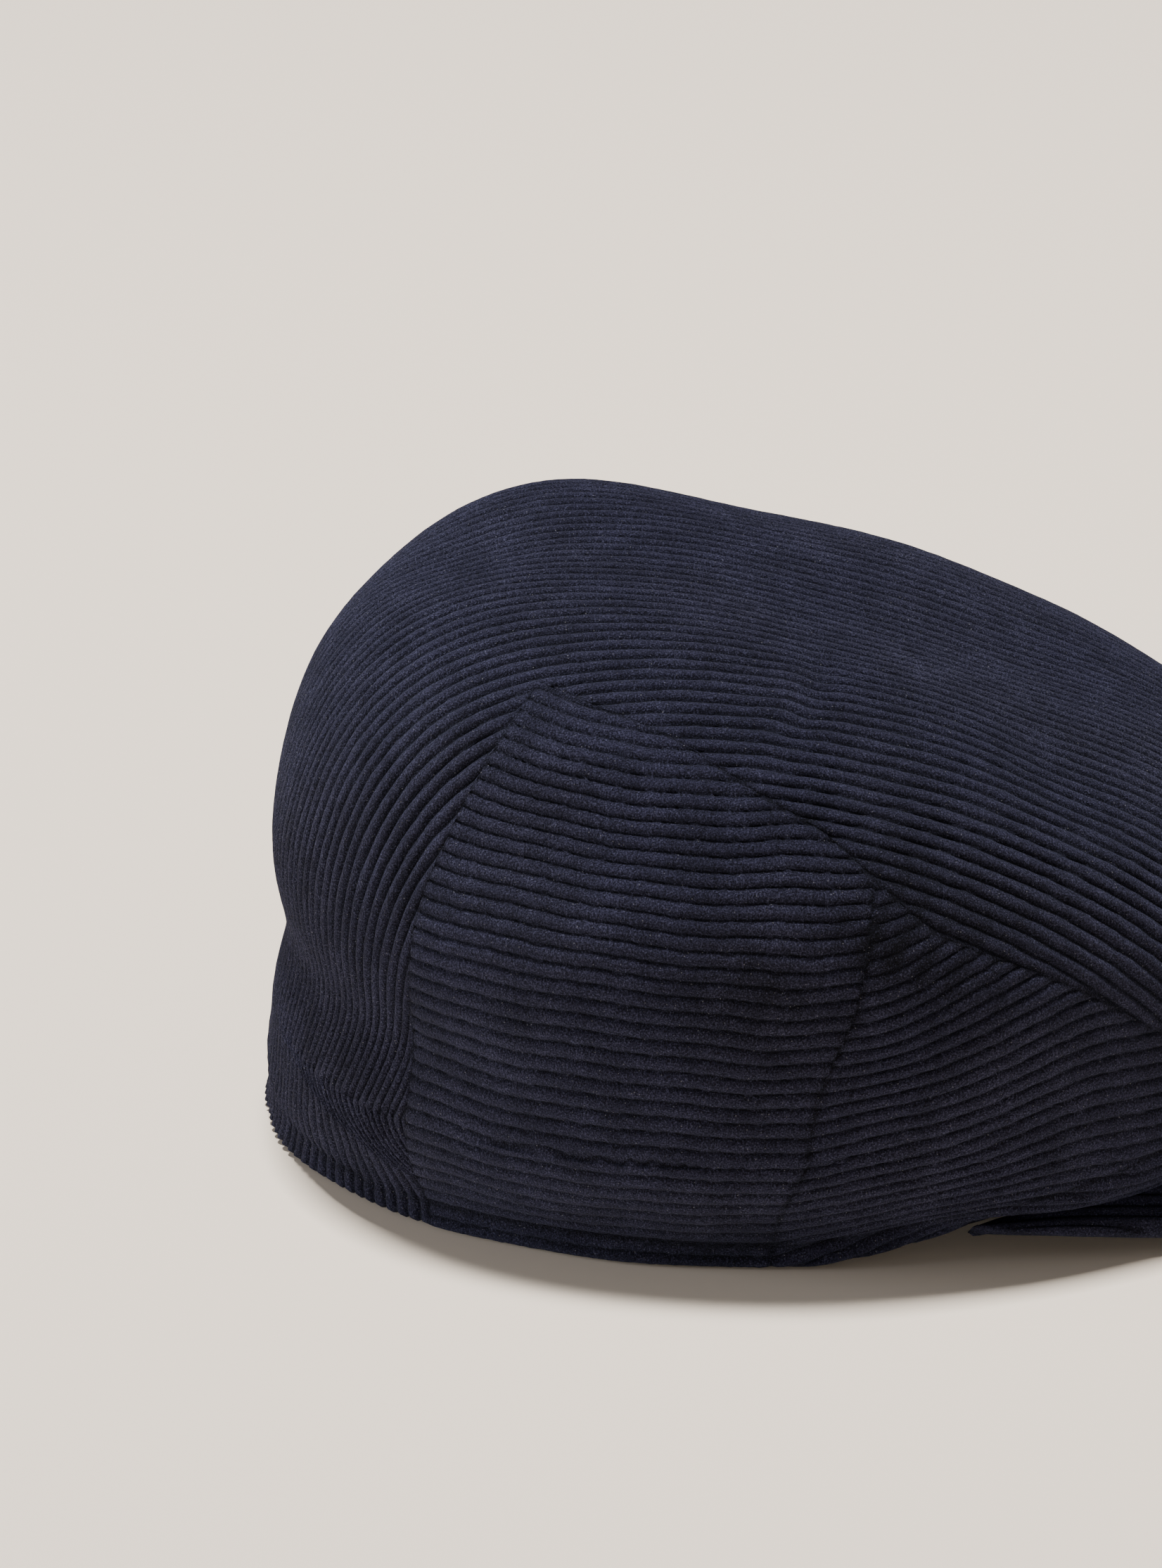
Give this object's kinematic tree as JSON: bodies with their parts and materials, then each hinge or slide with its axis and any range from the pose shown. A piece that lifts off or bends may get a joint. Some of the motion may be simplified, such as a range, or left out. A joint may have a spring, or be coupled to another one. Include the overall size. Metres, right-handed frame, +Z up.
{
  "type": "flat cap",
  "caption": "Flat cap in wide-wale navy corduroy, with a full crown falling over a short stiff peak, a satin lining and an inner sweatband.",
  "frame": {"origin": "centre of the cap's outline on the level surface it stands on", "axes": "+Z up, -Y towards the peak, +X towards the wearer's left"},
  "size_m": [0.188, 0.2554, 0.1164],
  "materials": {
    "navy_corduroy": "matte pile",
    "lining_satin": "satin",
    "sweatband_ribbon": "matte ribbed",
    "label_cloth": "matte",
    "peak_board_plastic": "matte"
  },
  "bodies": {
    "root": {"top_panel": "navy_corduroy", "back_side_panel_right": "navy_corduroy", "back_side_panel_left": "navy_corduroy", "front_side_panel_right": "navy_corduroy", "front_side_panel_left": "navy_corduroy", "peak_top_cover": "navy_corduroy", "peak_under_cover": "navy_corduroy", "peak_board": "peak_board_plastic", "lining_crown": "lining_satin", "lining_side_right": "lining_satin", "lining_side_left": "lining_satin", "sweatband": "sweatband_ribbon", "care_label": "label_cloth"}
  },
  "joints": []
}
